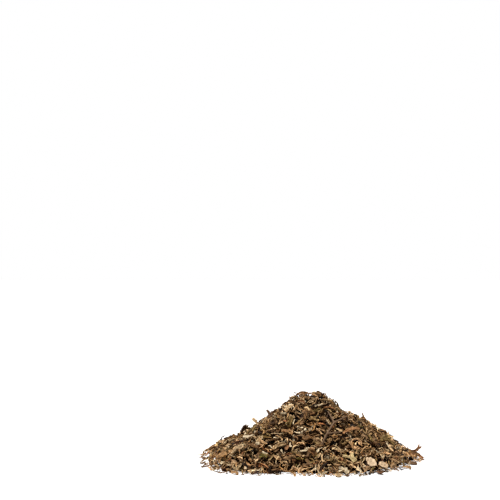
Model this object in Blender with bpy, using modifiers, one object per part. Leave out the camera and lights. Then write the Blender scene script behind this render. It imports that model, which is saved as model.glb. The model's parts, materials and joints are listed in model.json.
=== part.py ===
"""A heap of cut, dried Iceland moss, Cetraria islandica, lying on a level surface.

Iceland moss is a lichen: leathery forked straps with raised margins. Dried and cut, it is
pieces a few millimetres long, and thousands of them lie felted together in the heap. They
are one solid here, packed_moss. The pieces that can be told apart on its slopes and at its
foot are solids of their own, each modelled upright, as the lichen grows, and then laid down.

Metres, +Z up. The origin is the middle of the ground that the heap covers, +X runs along
the heap's longest side and -Y is its front.
"""

import math
import random

import bmesh
import bpy
from mathutils import Matrix, Vector, noise
from mathutils.bvhtree import BVHTree

MM = 0.001

# Packed heap
HEAP_HEIGHT = 38 * MM
FOOT_HEIGHT = 1.2 * MM  # the last layer of pieces, where the heap thins out
# From the axis to the edge in mm, every 30 degrees from 15 degrees on: squarer at the front left
FOOT_REACH = (61, 63, 60, 58, 64, 66, 69, 79, 65, 68, 68, 63)
FOOT_FIRST = math.radians(15)
SLOPE_RISE, SLOPE_FALL = 1.1, 1.04  # the slope's height at the axis and its fall to the foot, as shares
SUMMIT_SHARPNESS = 25
EDGE_STEEPNESS = 16
GRID_CELLS = 40
LUMPS = ((11 * MM, 1.5 * MM), (5 * MM, 0.9 * MM))  # wavelength and height of the lumps
LUMP_FADE = 8 * MM  # lumps and dips shrink where the heap is lower than this
# Broad dips of the slopes, in mm: place, reach along X and Y, and depth, which is negative for a rise
DIPS = ((-44, 6, 11, 24, 4.5), (-30, 4, 7, 18, 2.0), (22, 4, 5, 14, 2.4), (-12, 2, 6, 9, -1.5))

# Single pieces
THALLUS = 0.45 * MM  # thickness of a strap
FORK = math.radians(34)  # each lobe turns this far from its stalk
STALK_SHARE, LOBE_SHARE, TOOTH_SHARE = 0.4, 0.4, 0.2  # of a forked frond's length
TOOTH_WIDTH = 0.45  # of the width that the tooth grew from
STRAP_ROWS = 7
STRAP_TIP = 0.5  # of the strap's width
FLAKE_ROWS = ((7, 1.25), (-12, 1.05), (9, 0.9), (-3, 0.6))  # turn in degrees and widening of each row
STEM_LENGTH = 33 * MM
# The stem's joints as shares of its length: foot, knee, fork, left tip, right tip and side twig
STEM_JOINTS = (
    (0, 0, 0), (0.02, 0.02, 0.35), (0.08, 0, 0.7),
    (-0.1, 0.02, 1), (0.26, 0, 0.97), (0.25, 0.02, 0.5),
)
STEM_TWIGS = ((0, 1), (1, 2), (2, 3), (2, 4), (1, 5))
THICK_JOINTS = 3
STEM_RADIUS, TWIG_RADIUS = 0.45 * MM, 0.28 * MM
LOOP_RADIUS, LOOP_THICKNESS = 3.1 * MM, 0.6 * MM
LOOP_TURN = math.radians(318)
LOOP_RISE = 0.9 * MM
LOOP_POINTS = 17
STEM_PLACE, STEM_HEADING = (7.3 * MM, -35.7 * MM), math.radians(-14)
LOOP_PLACE, LOOP_PITCH = (23.6 * MM, -48.5 * MM), math.radians(35)  # leans up towards the front

# How the pieces lie
SEAT_GAP = 0.35 * MM  # left under a piece, so that neighbours share no material
HIGH_ABOVE = 80 * MM
SIDE_STEP = 0.2 * MM
NEAR_FOOT = 0.45 * MM  # how close a stray piece lies to the foot
STRAY_START = 15 * MM  # beyond the foot, before it is moved in
SLOPE_SPAN = 2 * MM  # the slope under a piece is measured this far to both sides

# The pieces strewn over the slopes
STREWN_PIECES = 28
NEAREST_SHARE, FARTHEST_SHARE = 0.15, 0.88  # of the way from the axis to the foot
GOLDEN_ANGLE = math.pi * (3 - math.sqrt(5))
OWN_ROOM = 7 * MM  # between the middles of two pieces
LEAST_BEND, MOST_BEND = 20, 75  # degrees
MOST_TWIST = 35  # degrees, to either side
MOST_SWAY = 0.7  # radians from end to end, to either side
LEAST_PITCH, MOST_PITCH, MOST_ROLL = -0.2, 0.3, 0.4  # radians
SEED = 41

# Kind, colour, length and width in mm, bend and twist in degrees, place in mm, heading and pitch in degrees
SLOPE_PIECES = {
    "pale_broad_flake": ("flake", "pale_underside", 6.2, 4.4, 15, 10, 31.4, -56, 25, 6),
    "second_pale_flake": ("flake", "pale_underside", 5.4, 3.6, 30, -15, 39, -55, 70, 0),
    "green_frond": ("toothed", "green_thallus", 8, 3.0, 30, 15, 19.4, -57, 40, 0),
    "orange_strand": ("strap", "tan_thallus", 13, 1.7, 70, 30, 22, -35, -58, 8),
    "summit_curl_left": ("strap", "brown_thallus", 8, 2.6, 110, 20, -7, 0, 80, 10),
    "summit_curl_right": ("strap", "brown_thallus", 7.5, 2.3, 100, -25, 6, -1, 110, 10),
    "pale_green_frond": ("forked", "pale_underside", 8, 2.8, 40, -20, -54, -15, 200, 6),
    "whitish_flake": ("flake", "pale_underside", 6.5, 4.2, 35, -15, -41, -34, 150, 20),
    "dark_curl": ("rolled", "dark_stem", 7, 2.2, 90, 20, -45, -3, 285, 30),
    "pale_spike": ("strap", "pale_underside", 7.5, 1.6, 30, 20, -36.5, 3, 15, 35),
    "top_pale_strip": ("strap", "pale_underside", 7, 1.8, 40, 30, -16, -17, 300, 5),
    "middle_pale_strip": ("strap", "tan_thallus", 7.5, 1.9, 50, -30, -17.5, -37, 60, 5),
    "lower_pale_strip": ("rolled", "pale_underside", 7, 2.4, 40, 25, -23, -48, 110, 0),
    "dark_pointed_flake": ("forked", "dark_stem", 7.5, 2.8, 25, 15, -27, -11, 330, 15),
    "left_channelled_strap": ("rolled", "pale_underside", 9, 2.8, 80, 30, -48, -46, 285, 5),
    "left_tan_flake": ("flake", "tan_thallus", 6, 3.8, 20, 10, -57, -43, 100, 0),
    "green_bit": ("strap", "green_thallus", 5, 2.4, 60, 15, -32, -55, 70, 0),
    "right_slope_frond": ("toothed", "olive_thallus", 9, 3.0, 35, 25, 45, -24, 300, 8),
    "right_foot_frond": ("toothed", "brown_thallus", 9.5, 3.4, 40, 15, 64.4, -18, -72, 28),
}
ROLLS = {"right_foot_frond": 35}  # degrees, turned up on its side
# Kind, colour, length and width in mm, bend and twist in degrees, direction from the axis and heading
FOOT_PIECES = {
    "right_foot_chip": ("flake", "dark_stem", 4.2, 3.0, 25, 10, -29, 20),
    "right_foot_strip": ("strap", "tan_thallus", 6, 1.6, 50, 20, -41, 50),
    "front_block": ("flake", "packed_moss", 4.4, 2.8, 10, 5, -60, 60),
    "front_stray": ("flake", "pale_underside", 4.4, 2.4, 35, 25, -81, 15),
    "front_left_strip": ("strap", "tan_thallus", 6, 1.7, 50, -20, -128, 40),
    "left_foot_strip": ("strap", "dark_stem", 5.5, 1.6, 45, 15, 193, 20),
    "back_left_strip": ("strap", "tan_thallus", 7.5, 2.2, 50, 25, 143, 10),
    "back_foot_frond": ("forked", "olive_thallus", 8.5, 3.0, 25, 10, 97, 130),
    "back_right_flake": ("flake", "brown_thallus", 5.2, 3.6, 20, 10, 48, 60),
}
STREWN_KINDS = ("toothed", "rolled", "strap", "flake", "forked", "strap")
STREWN_COLOURS = ("brown_thallus", "tan_thallus", "olive_thallus", "pale_underside", "brown_thallus")
# Shortest, longest, narrowest and widest in mm
STREWN_SIZES = {
    "toothed": (6.5, 9, 2.4, 3.0),
    "forked": (6, 8.5, 2.2, 2.9),
    "rolled": (5, 8, 2.2, 2.9),
    "strap": (5, 8.5, 1.2, 1.8),
    "flake": (4.2, 6, 2.8, 3.8),
}
# mm above the middle of the piece
MARGIN_RISE = {"toothed": 0.5, "forked": 0.5, "rolled": 1.3, "strap": 0.4, "flake": 0.5}

COLOURS = {
    "packed_moss": (0.155, 0.092, 0.044),
    "brown_thallus": (0.231, 0.136, 0.061),
    "olive_thallus": (0.165, 0.117, 0.039),
    "tan_thallus": (0.434, 0.279, 0.149),
    "pale_underside": (0.552, 0.423, 0.262),
    "green_thallus": (0.194, 0.199, 0.055),
    "dark_stem": (0.062, 0.035, 0.022),
}
ROUGHNESS = 0.75


def clear_scene():
    """Removes whatever the file opened with."""
    for thing in list(bpy.data.objects):
        bpy.data.objects.remove(thing)


def matt(name):
    """The dry, matt finish of one colour of moss."""
    material = bpy.data.materials.get(name)
    if material:
        return material
    material = bpy.data.materials.new(name)
    material.use_nodes = True
    shader = material.node_tree.nodes["Principled BSDF"]
    shader.inputs["Base Color"].default_value = (*COLOURS[name], 1)
    shader.inputs["Roughness"].default_value = ROUGHNESS
    shader.inputs["Metallic"].default_value = 0
    return material


def add_object(name, data, colour, collection):
    made = bpy.data.objects.new(name, data)
    made.data.materials.append(matt(colour))
    collection.objects.link(made)
    return made


def foot_radius(angle):
    """Distance from the axis to the edge of the heap: a smooth curve through the reaches."""
    spacing = 2 * math.pi / len(FOOT_REACH)
    place = (angle - FOOT_FIRST) / spacing
    first = math.floor(place)
    t = place - first
    a, b, c, d = (FOOT_REACH[(first + step) % len(FOOT_REACH)] for step in (-1, 0, 1, 2))
    curve = b + t / 2 * (c - a + t * (2 * a - 5 * b + 4 * c - d + t * (3 * (b - c) + d - a)))
    return curve * MM


def slope_share(share):
    """Height of the slope, as a share of the heap's, at a share of the way from the axis to the foot."""
    slope = SLOPE_RISE - SLOPE_FALL * share
    pressed = math.exp(-SUMMIT_SHARPNESS * slope) + math.exp(-SUMMIT_SHARPNESS)
    return -math.log(pressed) / SUMMIT_SHARPNESS


def lump(x, y):
    """Rise or dip of the crumbly surface at a place."""
    return sum(rise * noise.noise(Vector((x / wave, y / wave, wave / MM))) for wave, rise in LUMPS)


def dip(x, y):
    """How far the slope sinks at a place: it is lower on the left than a plain cone."""
    depth = 0
    for middle_x, middle_y, reach_x, reach_y, deepest in DIPS:
        away = ((x / MM - middle_x) / reach_x) ** 2 + ((y / MM - middle_y) / reach_y) ** 2
        depth += deepest * math.exp(-away)
    return depth * MM


def heap_height(x, y, share):
    """Height of the packed heap, with a steep edge, lumps and dips."""
    edge = math.sqrt(max(1 - share**EDGE_STEEPNESS, 0))
    above_foot = (HEAP_HEIGHT - FOOT_HEIGHT) * slope_share(share) * edge
    return FOOT_HEIGHT + above_foot + (lump(x, y) - dip(x, y)) * min(1, above_foot / LUMP_FADE)


def packed_moss(collection):
    """The felted mass of small pieces: a domed grid with a short rim and a flat underside."""
    form = bmesh.new()
    bmesh.ops.create_grid(form, x_segments=GRID_CELLS, y_segments=GRID_CELLS, size=1)
    for corner in form.verts:
        u, v = corner.co.x, corner.co.y
        on_disc = Vector((u * math.sqrt(1 - v * v / 2), v * math.sqrt(1 - u * u / 2)))
        share = min(on_disc.length, 1)
        angle = math.atan2(on_disc.y, on_disc.x)
        reach = share * foot_radius(angle)
        x, y = reach * math.cos(angle), reach * math.sin(angle)
        corner.co = (x, y, heap_height(x, y, share))
    edge = [side for side in form.edges if side.is_boundary]
    rim = bmesh.ops.extrude_edge_only(form, edges=edge)["geom"]
    for corner in (part for part in rim if isinstance(part, bmesh.types.BMVert)):
        corner.co.z = 0
    underside = [part for part in rim if isinstance(part, bmesh.types.BMEdge)]
    bmesh.ops.contextual_create(form, geom=underside)
    bmesh.ops.recalc_face_normals(form, faces=form.faces)
    mesh = bpy.data.meshes.new("packed_moss")
    form.to_mesh(mesh)
    form.free()
    return add_object("packed_moss", mesh, "packed_moss", collection)


def first_row(form, columns, width):
    """A row of points across the cut end of a strap."""
    row = [form.verts.new((width * (i / columns - 0.5), 0, 0)) for i in range(columns + 1)]
    for a, b in zip(row, row[1:]):
        form.edges.new((a, b))
    return row


def row_edges(row):
    """The edges that join neighbouring points of a row."""
    return [edge for a, b in zip(row, row[1:]) for edge in a.link_edges if edge.other_vert(a) is b]


def grow(form, row, step, turn=0.0, widen=1.0):
    """Extrudes a row of points upward into the next row, turned and widened about its middle."""
    made = bmesh.ops.extrude_edge_only(form, edges=row_edges(row))["geom"]
    added = [part for part in made if isinstance(part, bmesh.types.BMVert)]
    across = (row[-1].co - row[0].co).normalized()
    added.sort(key=lambda point: point.co.dot(across))
    middle = sum((point.co for point in added), Vector()) / len(added)
    rotation = Matrix.Rotation(turn, 3, "Y")
    upward = rotation @ Vector((-across.z, 0, across.x))
    for point in added:
        point.co = middle + rotation @ (point.co - middle) * widen + upward * step
    return added


def strap_sheet(length, width, sway):
    """A single strap that narrows to its tip and sways to one side."""
    form = bmesh.new()
    row = first_row(form, 2, width)
    step, turn = length / STRAP_ROWS, sway / STRAP_ROWS
    for _ in range(STRAP_ROWS - 1):
        row = grow(form, row, step, turn)
    grow(form, row, step, turn, STRAP_TIP)
    return form


def forked_sheet(length, width, sway, teeth):
    """A stalk that forks into two lobes, each with a pointed tip or with two teeth."""
    form = bmesh.new()
    row = first_row(form, 4, width)
    for _ in range(2):
        row = grow(form, row, length * STALK_SHARE / 2, sway / 2)
    for side, points in ((-1, row[:3]), (1, row[2:])):
        lobe = grow(form, points, length * LOBE_SHARE / 2, side * FORK)
        lobe = grow(form, lobe, length * LOBE_SHARE / 2, side * FORK / 3)
        if teeth:
            grow(form, lobe[:2], length * TOOTH_SHARE, -FORK / 2, TOOTH_WIDTH)
            grow(form, lobe[1:], length * TOOTH_SHARE, FORK / 2, TOOTH_WIDTH)
        else:
            grow(form, lobe, length * TOOTH_SHARE, 0, TOOTH_WIDTH)
    return form


def flake_sheet(length, width, sway):
    """An irregular flake of the broad part of a frond, cut at both ends."""
    form = bmesh.new()
    row = first_row(form, 3, width)
    for turn, widen in FLAKE_ROWS:
        row = grow(form, row, length / len(FLAKE_ROWS), math.radians(turn) + sway / len(FLAKE_ROWS), widen)
    return form


SHEETS = {
    "toothed": lambda length, width, sway: forked_sheet(length, width, sway, True),
    "forked": lambda length, width, sway: forked_sheet(length, width, sway, False),
    "rolled": strap_sheet,
    "strap": strap_sheet,
    "flake": flake_sheet,
}


def raise_margins(form, rise):
    """Lifts the margins of a sheet but not its cut end, which makes the channel of a living strap."""
    cut_end = min(point.co.z for point in form.verts) + THALLUS / 2
    for point in form.verts:
        inside = any(not edge.is_boundary for edge in point.link_edges)
        if point.is_boundary and not (point.co.z < cut_end and inside):
            point.co.y -= rise


def cut_piece(name, kind, colour, length, width, bend, twist, sway, collection):
    """One closed piece of thallus of a kind, channelled, bent and twisted."""
    form = SHEETS[kind](length * MM, width * MM, sway)
    raise_margins(form, MARGIN_RISE[kind] * MM)
    middle = sum((point.co for point in form.verts), Vector()) / len(form.verts)
    bmesh.ops.translate(form, verts=form.verts, vec=-middle)
    bmesh.ops.recalc_face_normals(form, faces=form.faces)
    mesh = bpy.data.meshes.new(name)
    form.to_mesh(mesh)
    form.free()
    made = add_object(name, mesh, colour, collection)
    for method, axis, degrees in (("BEND", "X", bend), ("TWIST", "Z", twist)):
        curl = made.modifiers.new(method.lower(), "SIMPLE_DEFORM")
        curl.deform_method = method
        curl.deform_axis = axis
        curl.angle = math.radians(degrees)
    wall = made.modifiers.new("thallus", "SOLIDIFY")
    wall.thickness = THALLUS
    wall.offset = 0
    return made


def dark_forked_stem(collection):
    """A woody stem that forks near its top and has one side twig: a skeleton with a round skin."""
    mesh = bpy.data.meshes.new("dark_forked_stem")
    mesh.from_pydata([Vector(joint) * STEM_LENGTH for joint in STEM_JOINTS], STEM_TWIGS, [])
    mesh.transform(Matrix.Translation((0, 0, -STEM_LENGTH / 2)))
    made = add_object("dark_forked_stem", mesh, "dark_stem", collection)
    made.modifiers.new("bark", "SKIN").use_smooth_shade = True
    for number, point in enumerate(mesh.skin_vertices[0].data):
        thickness = STEM_RADIUS if number < THICK_JOINTS else TWIG_RADIUS
        point.radius = (thickness, thickness)
    return made


def curled_stem_loop(collection):
    """A thin strip that dried into a loop, whose ends pass each other."""
    line = bpy.data.curves.new("curled_stem_loop", "CURVE")
    line.dimensions = "3D"
    spline = line.splines.new("POLY")
    spline.points.add(LOOP_POINTS - 1)
    for number, point in enumerate(spline.points):
        along = number / (LOOP_POINTS - 1)
        angle = LOOP_TURN * along
        point.co = (LOOP_RADIUS * math.cos(angle), LOOP_RISE * along, LOOP_RADIUS * math.sin(angle), 1)
    line.bevel_depth = LOOP_THICKNESS / 2
    line.bevel_resolution = 1
    line.use_fill_caps = True
    return add_object("curled_stem_loop", line, "tan_thallus", collection)


def solid_of(thing):
    """The finished mesh of an object as points and faces in world space."""
    bpy.context.view_layer.update()
    shown = thing.evaluated_get(bpy.context.evaluated_depsgraph_get())
    mesh = shown.to_mesh()
    points = [shown.matrix_world @ point.co for point in mesh.vertices]
    faces = [tuple(face.vertices) for face in mesh.polygons]
    shown.to_mesh_clear()
    return points, faces


def probes(points, faces):
    """Places that stand for a whole surface: corners, and middles of sides and faces."""
    found = list(points)
    for face in faces:
        corners = [points[index] for index in face]
        found.append(sum(corners, Vector()) / len(corners))
        found += [(a + b) / 2 for a, b in zip(corners, corners[1:] + corners[:1])]
    return found


class Ground:
    """What the next piece comes to rest on: the level surface, the heap and the pieces laid so far."""

    def __init__(self):
        self.solids = []

    def add(self, thing):
        points, faces = solid_of(thing)
        self.solids.append((BVHTree.FromPolygons(points, faces), probes(points, faces)))

    def lift_for(self, points, faces):
        """How far a piece has to rise, or to sink if negative, to rest on what is below it."""
        own = BVHTree.FromPolygons(points, faces)
        spots = probes(points, faces)
        lift = -min(spot.z for spot in spots)
        down, up = Vector((0, 0, -1)), Vector((0, 0, 1))
        for tree, others in self.solids:
            for spot in spots:
                hit = tree.ray_cast(Vector((spot.x, spot.y, HIGH_ABOVE)), down)[0]
                if hit:
                    lift = max(lift, hit.z + SEAT_GAP - spot.z)
            for spot in others:
                hit = own.ray_cast(Vector((spot.x, spot.y, -HIGH_ABOVE)), up)[0]
                if hit:
                    lift = max(lift, spot.z + SEAT_GAP - hit.z)
        return lift

    def distance(self, points):
        """Shortest way from these points to the solids laid so far."""
        return min(tree.find_nearest(point)[3] for tree, _ in self.solids for point in points)


def lying(heading, pitch, roll):
    """Turns an upright piece to lie along its heading, its channel upward, tipped by pitch and roll."""
    flat = Matrix.Rotation(-math.pi / 2, 4, "X")
    tipped = Matrix.Rotation(pitch, 4, "X") @ Matrix.Rotation(roll, 4, "Y")
    return Matrix.Rotation(heading, 4, "Z") @ tipped @ flat


def along_slope(x, y):
    """The rotation that lays a flat piece along the heap's surface at a place."""
    angle, out = math.atan2(y, x), math.hypot(x, y)
    reach = foot_radius(angle)
    near, far = (HEAP_HEIGHT * slope_share((out + step) / reach) for step in (-SLOPE_SPAN, SLOPE_SPAN))
    fall = near - far
    normal = Vector((fall * math.cos(angle), fall * math.sin(angle), 2 * SLOPE_SPAN))
    return Vector((0, 0, 1)).rotation_difference(normal.normalized()).to_matrix().to_4x4()


def lay_on_heap(thing, ground, x, y, heading, pitch, roll=0.0):
    """Lays a piece along the slope at a place and lowers it until it touches."""
    thing.matrix_world = Matrix.Translation((x, y, 0)) @ along_slope(x, y) @ lying(heading, pitch, roll)
    thing.location.z += ground.lift_for(*solid_of(thing))
    ground.add(thing)


def lay_at_foot(thing, ground, direction, heading):
    """Lays a stray piece on the level surface and moves it in, close to the foot of the heap."""
    outward = Vector((math.cos(direction), math.sin(direction), 0))
    thing.matrix_world = lying(heading, 0, 0)
    points, _ = solid_of(thing)
    thing.location = outward * (foot_radius(direction) + STRAY_START)
    thing.location.z = -min(point.z for point in points)
    while ground.distance(probes(*solid_of(thing))) > NEAR_FOOT + SIDE_STEP:
        thing.location -= outward * SIDE_STEP
    ground.add(thing)


def lay_own_pieces(ground, collection):
    """Lays the pieces that have a look and a place of their own."""
    lay_on_heap(dark_forked_stem(collection), ground, *STEM_PLACE, STEM_HEADING, 0)
    lay_on_heap(curled_stem_loop(collection), ground, *LOOP_PLACE, 0, LOOP_PITCH)
    for name, (kind, colour, length, width, bend, twist, x, y, heading, pitch) in SLOPE_PIECES.items():
        piece = cut_piece(name, kind, colour, length, width, bend, twist, 0, collection)
        turns = (math.radians(turn) for turn in (heading, pitch, ROLLS.get(name, 0)))
        lay_on_heap(piece, ground, x * MM, y * MM, *turns)
    for name, (kind, colour, length, width, bend, twist, direction, heading) in FOOT_PIECES.items():
        piece = cut_piece(name, kind, colour, length, width, bend, twist, 0, collection)
        lay_at_foot(piece, ground, math.radians(direction), math.radians(heading))


def strewn_piece(number, chance, collection):
    """One of the common kinds of piece, in a size, bend and sway of its own."""
    kind = STREWN_KINDS[number % len(STREWN_KINDS)]
    colour = STREWN_COLOURS[number % len(STREWN_COLOURS)]
    shortest, longest, narrowest, widest = STREWN_SIZES[kind]
    length, width = chance.uniform(shortest, longest), chance.uniform(narrowest, widest)
    bend = chance.uniform(LEAST_BEND, MOST_BEND)
    twist = chance.uniform(-MOST_TWIST, MOST_TWIST)
    sway = chance.uniform(-MOST_SWAY, MOST_SWAY)
    name = f"{kind}_piece_{number + 1:02d}"
    return cut_piece(name, kind, colour, length, width, bend, twist, sway, collection)


def strewn_place(number, taken):
    """A free place on the slopes, from a spiral that spreads the pieces evenly."""
    near, far = NEAREST_SHARE**2, FARTHEST_SHARE**2
    share = math.sqrt(near + (far - near) * (number + 0.5) / STREWN_PIECES)
    angle = number * GOLDEN_ANGLE
    while True:
        reach = share * foot_radius(angle)
        place = Vector((reach * math.cos(angle), reach * math.sin(angle), 0))
        if all((place - other).xy.length > OWN_ROOM for other in taken):
            return place
        angle += GOLDEN_ANGLE / 2


def strew_pieces(ground, collection):
    """Spreads the common kinds of piece over the slopes, apart from places that are taken."""
    chance = random.Random(SEED)
    taken = [thing.location.copy() for thing in collection.objects if thing.name != "packed_moss"]
    for number in range(STREWN_PIECES):
        place = strewn_place(number, taken)
        piece = strewn_piece(number, chance, collection)
        heading = chance.uniform(0, 2 * math.pi)
        pitch = chance.uniform(LEAST_PITCH, MOST_PITCH)
        roll = chance.uniform(-MOST_ROLL, MOST_ROLL)
        lay_on_heap(piece, ground, place.x, place.y, heading, pitch, roll)
        taken.append(place)


def centre_on_origin(things):
    """Moves everything so that the ground it covers is centred on the origin."""
    points = [point for thing in things for point in solid_of(thing)[0]]
    low = Vector([min(point[axis] for point in points) for axis in range(3)])
    high = Vector([max(point[axis] for point in points) for axis in range(3)])
    for thing in things:
        thing.location.xy -= (low + high).xy / 2


def build():
    clear_scene()
    collection = bpy.data.collections.new("iceland_moss_heap")
    bpy.context.scene.collection.children.link(collection)
    ground = Ground()
    ground.add(packed_moss(collection))
    lay_own_pieces(ground, collection)
    strew_pieces(ground, collection)
    centre_on_origin(list(collection.objects))


build()
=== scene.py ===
# %% [markdown]
# # A heap of cut, dried Iceland moss
#
# Iceland moss is a lichen that grows as leathery forked straps. Dried and cut, it is thousands
# of curled, torn pieces a few millimetres long. This lesson pours such a heap piece by piece:
# a few dozen pieces are modelled, thousands of copies of them are dropped into the shape of the
# packed heap, and the pieces that can be told apart are refined from their own CAD solids.

import json
import math

import bmesh
import bpy
import numpy as np
from mathutils import Matrix, Vector, noise
from mathutils.bvhtree import BVHTree


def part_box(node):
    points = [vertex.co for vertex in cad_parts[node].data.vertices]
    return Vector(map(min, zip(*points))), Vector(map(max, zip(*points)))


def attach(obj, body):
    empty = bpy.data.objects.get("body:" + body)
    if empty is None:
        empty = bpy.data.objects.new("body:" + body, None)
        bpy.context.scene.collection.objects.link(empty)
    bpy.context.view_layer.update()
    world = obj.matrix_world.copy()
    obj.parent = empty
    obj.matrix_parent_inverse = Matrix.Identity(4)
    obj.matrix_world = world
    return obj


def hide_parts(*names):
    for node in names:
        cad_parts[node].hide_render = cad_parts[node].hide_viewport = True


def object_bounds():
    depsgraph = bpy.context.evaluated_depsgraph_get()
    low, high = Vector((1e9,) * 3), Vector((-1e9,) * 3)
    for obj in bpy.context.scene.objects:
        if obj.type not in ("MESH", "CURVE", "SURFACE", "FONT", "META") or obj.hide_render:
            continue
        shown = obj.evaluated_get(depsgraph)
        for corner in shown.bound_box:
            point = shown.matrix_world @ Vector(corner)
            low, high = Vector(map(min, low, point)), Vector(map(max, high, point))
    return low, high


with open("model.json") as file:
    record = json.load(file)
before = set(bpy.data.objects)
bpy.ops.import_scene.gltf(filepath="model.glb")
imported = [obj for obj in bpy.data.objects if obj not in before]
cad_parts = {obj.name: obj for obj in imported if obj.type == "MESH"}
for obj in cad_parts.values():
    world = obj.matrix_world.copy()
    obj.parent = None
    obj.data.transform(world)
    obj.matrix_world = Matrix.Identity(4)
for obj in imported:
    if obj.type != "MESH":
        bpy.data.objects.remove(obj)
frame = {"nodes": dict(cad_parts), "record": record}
cad_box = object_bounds()
nodes = frame["nodes"]
MM = 0.001
slot_of = {row["node"]: row["material_slot"] for row in frame["record"]["subparts"]}
single_nodes = sorted(name for name in nodes if name != "packed_moss")
print("single pieces:", len(single_nodes))

# %% [markdown]
# ## Small helpers
#
# A few things are needed again and again. Colours are picked as hex values, as on a screen, but
# Blender mixes linear light. Operators act on whatever is selected, so one object is made the
# only one first, and points are chosen by their place rather than by clicking.


# %% Helpers for colour, objects and selection
def linear(hex_colour):
    """An sRGB hex colour as linear red, green, blue and alpha."""
    shares = [int(hex_colour[i : i + 2], 16) / 255 for i in (1, 3, 5)]
    return [s / 12.92 if s <= 0.04045 else ((s + 0.055) / 1.055) ** 2.4 for s in shares] + [1.0]


def only(thing):
    """Makes one object the active and only selected one."""
    bpy.ops.object.select_all(action="DESELECT")
    thing.select_set(True)
    bpy.context.view_layer.objects.active = thing


def new_piece(name, data):
    """Adds an object to the scene, at the origin."""
    piece = bpy.data.objects.new(name, data)
    bpy.context.scene.collection.objects.link(piece)
    return piece


def choose(strap, wanted):
    """In edit mode, selects the points for which wanted is true, and nothing else."""
    bpy.ops.mesh.select_all(action="DESELECT")
    form = bmesh.from_edit_mesh(strap.data)
    for point in form.verts:
        point.select = wanted(point)
    form.select_flush(True)
    bmesh.update_edit_mesh(strap.data)


# %% [markdown]
# ## Growing a strap by hand
#
# A strap starts as one row of faces that stands upright, as the lichen grows. Its top edge is
# extruded again and again, and each new row is turned and resized about its own middle, which
# gives the uneven outline of a torn leaf. Where the plant forks, half of the row is selected
# and grown on its own. A plane cut from an outline would be quicker, but it would have no rows
# of faces to curl.


# %% Grow rows in edit mode
def start_strap(name, columns, width, step):
    """A row of faces in the XZ plane with its top edge selected, left in edit mode."""
    bpy.ops.object.select_all(action="DESELECT")
    bpy.ops.mesh.primitive_grid_add(
        x_subdivisions=columns, y_subdivisions=1, size=1, rotation=(math.pi / 2, 0, 0)
    )
    strap = bpy.context.object
    strap.name = name
    strap.scale = (width, step, 1)
    bpy.ops.object.transform_apply(location=False)
    bpy.ops.object.mode_set(mode="EDIT")
    choose(strap, lambda point: point.co.z > 0)
    return strap


def chosen_places(strap):
    """Where the selected points lie."""
    form = bmesh.from_edit_mesh(strap.data)
    return [point.co.copy() for point in form.verts if point.select]


def grow(strap, step, heading, turn=0.0, widen=1.0):
    """Extrudes the selected row ahead, then turns and widens it. Returns the new heading."""
    heading += turn
    ahead = Vector((math.sin(heading), 0, math.cos(heading))) * step
    bpy.ops.mesh.extrude_region_move(TRANSFORM_OT_translate={"value": ahead})
    row = chosen_places(strap)
    middle = sum(row, Vector()) / len(row)
    bpy.ops.transform.rotate(value=-turn, orient_axis="Y", center_override=middle)
    bpy.ops.transform.resize(value=(widen, widen, widen), center_override=middle)
    return heading


def split_row(strap, heading):
    """The selected row of points as its left and right halves, which share the middle point."""
    across = Vector((math.cos(heading), 0, -math.sin(heading)))
    places = sorted(chosen_places(strap), key=lambda place: place.dot(across))
    middle = len(places) // 2
    return places[: middle + 1], places[middle:]


SAME_PLACE = 0.001  # mm, because the pieces are modelled in millimetres


def choose_places(strap, places):
    """Selects the points that lie at these places."""
    choose(strap, lambda point: any((point.co - place).length < SAME_PLACE for place in places))


# %% [markdown]
# ## The kinds of cut piece
#
# Seven kinds make up the heap: straps, slivers, wide straps that roll into tubes, forked
# fronds, fronds with two small teeth on each lobe, torn flakes and crumbs. Each kind is one
# short recipe of rows, and its sizes are drawn anew each time, so no two prototypes are alike.


# %% Grow a strap and a fork
# Turns are in radians. Steps and widths are shares of the step and the row before.
SWAY, SWELL = 0.45, (0.76, 1.3)  # of the rows of a strap
STALK_STEP, STALK_SWAY, STALK_SWELL = 0.8, 0.3, 1.15
FORK_TURN, LOBE_STEP = (0.42, 0.85), (0.7, 1.3)
LOBE_SWAY, LOBE_SWELL = 0.35, (0.8, 1.2)
POINT_STEP, POINT_SWAY, POINT_WIDTH = 0.8, 0.4, 0.35
TOOTH_STEP, TOOTH_TURN, TOOTH_WIDTH = (0.5, 0.9), (0.2, 0.6), 0.3
SIDES = (-1, 1)


def grow_strap(chance, name, columns, rows, length, width, tip):
    """A single strap that sways from side to side and narrows to its tip."""
    step = length / rows
    strap = start_strap(name, columns, width, step)
    heading = 0.0
    for number in range(rows - 1):
        last = number == rows - 2
        widen = tip if last else chance.uniform(*SWELL)
        heading = grow(strap, step, heading, chance.uniform(-SWAY, SWAY), widen)
    return strap


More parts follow.
